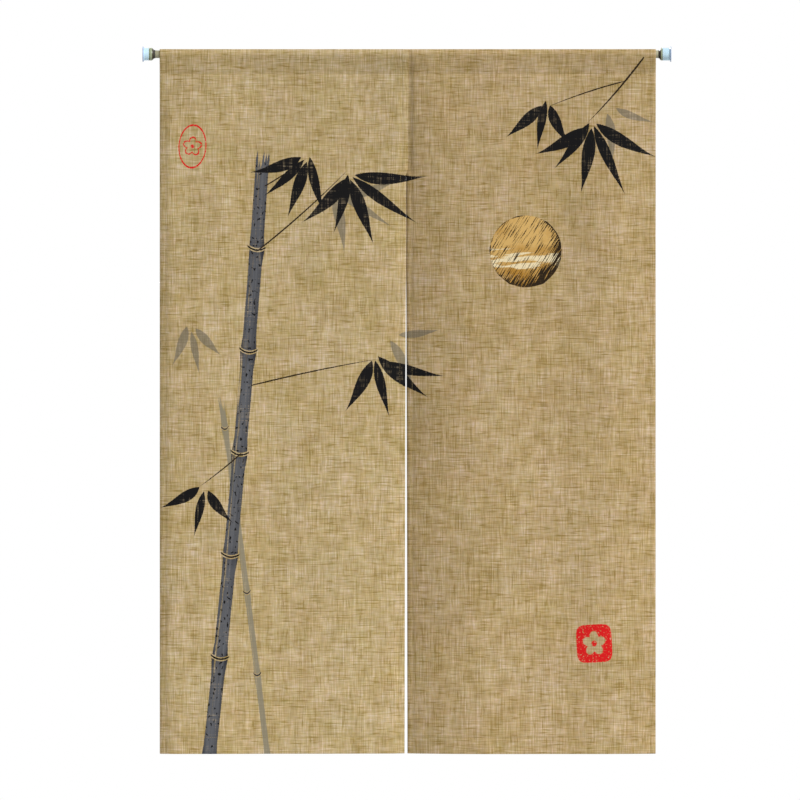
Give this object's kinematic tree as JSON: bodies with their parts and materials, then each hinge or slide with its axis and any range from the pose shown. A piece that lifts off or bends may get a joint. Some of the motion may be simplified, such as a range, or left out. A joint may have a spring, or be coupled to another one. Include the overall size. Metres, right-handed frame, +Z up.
{
  "type": "split door curtain on a tension rod",
  "caption": "Linen-look door curtain in two panels sewn together at the top with a walk-through slit below, hung by its top pocket on a spring tension rod with padded ends.",
  "frame": {"origin": "middle of the tension rod's axis, between the two door jambs that hold it", "axes": "+X along the rod to the right, +Y away from the viewer, through the doorway, +Z up"},
  "size_m": [0.906, 0.0402, 1.2125],
  "materials": {
    "cloth": "slubby plain-woven linen look, matt, tan, with a printed ink design",
    "stitching": "spun sewing thread in the cloth's own colour",
    "rod_paint": "smooth khaki-olive enamel, half gloss",
    "collar_plastic": "pale olive moulded ring with a dark brown taper",
    "cap_plastic": "pale icy blue translucent moulded plastic"
  },
  "bodies": {
    "root": {"left_panel": "cloth", "right_panel": "cloth", "rod_tube": "rod_paint", "left_collar": "collar_plastic", "right_collar": "collar_plastic", "left_cap": "cap_plastic", "right_cap": "cap_plastic"}
  },
  "joints": []
}
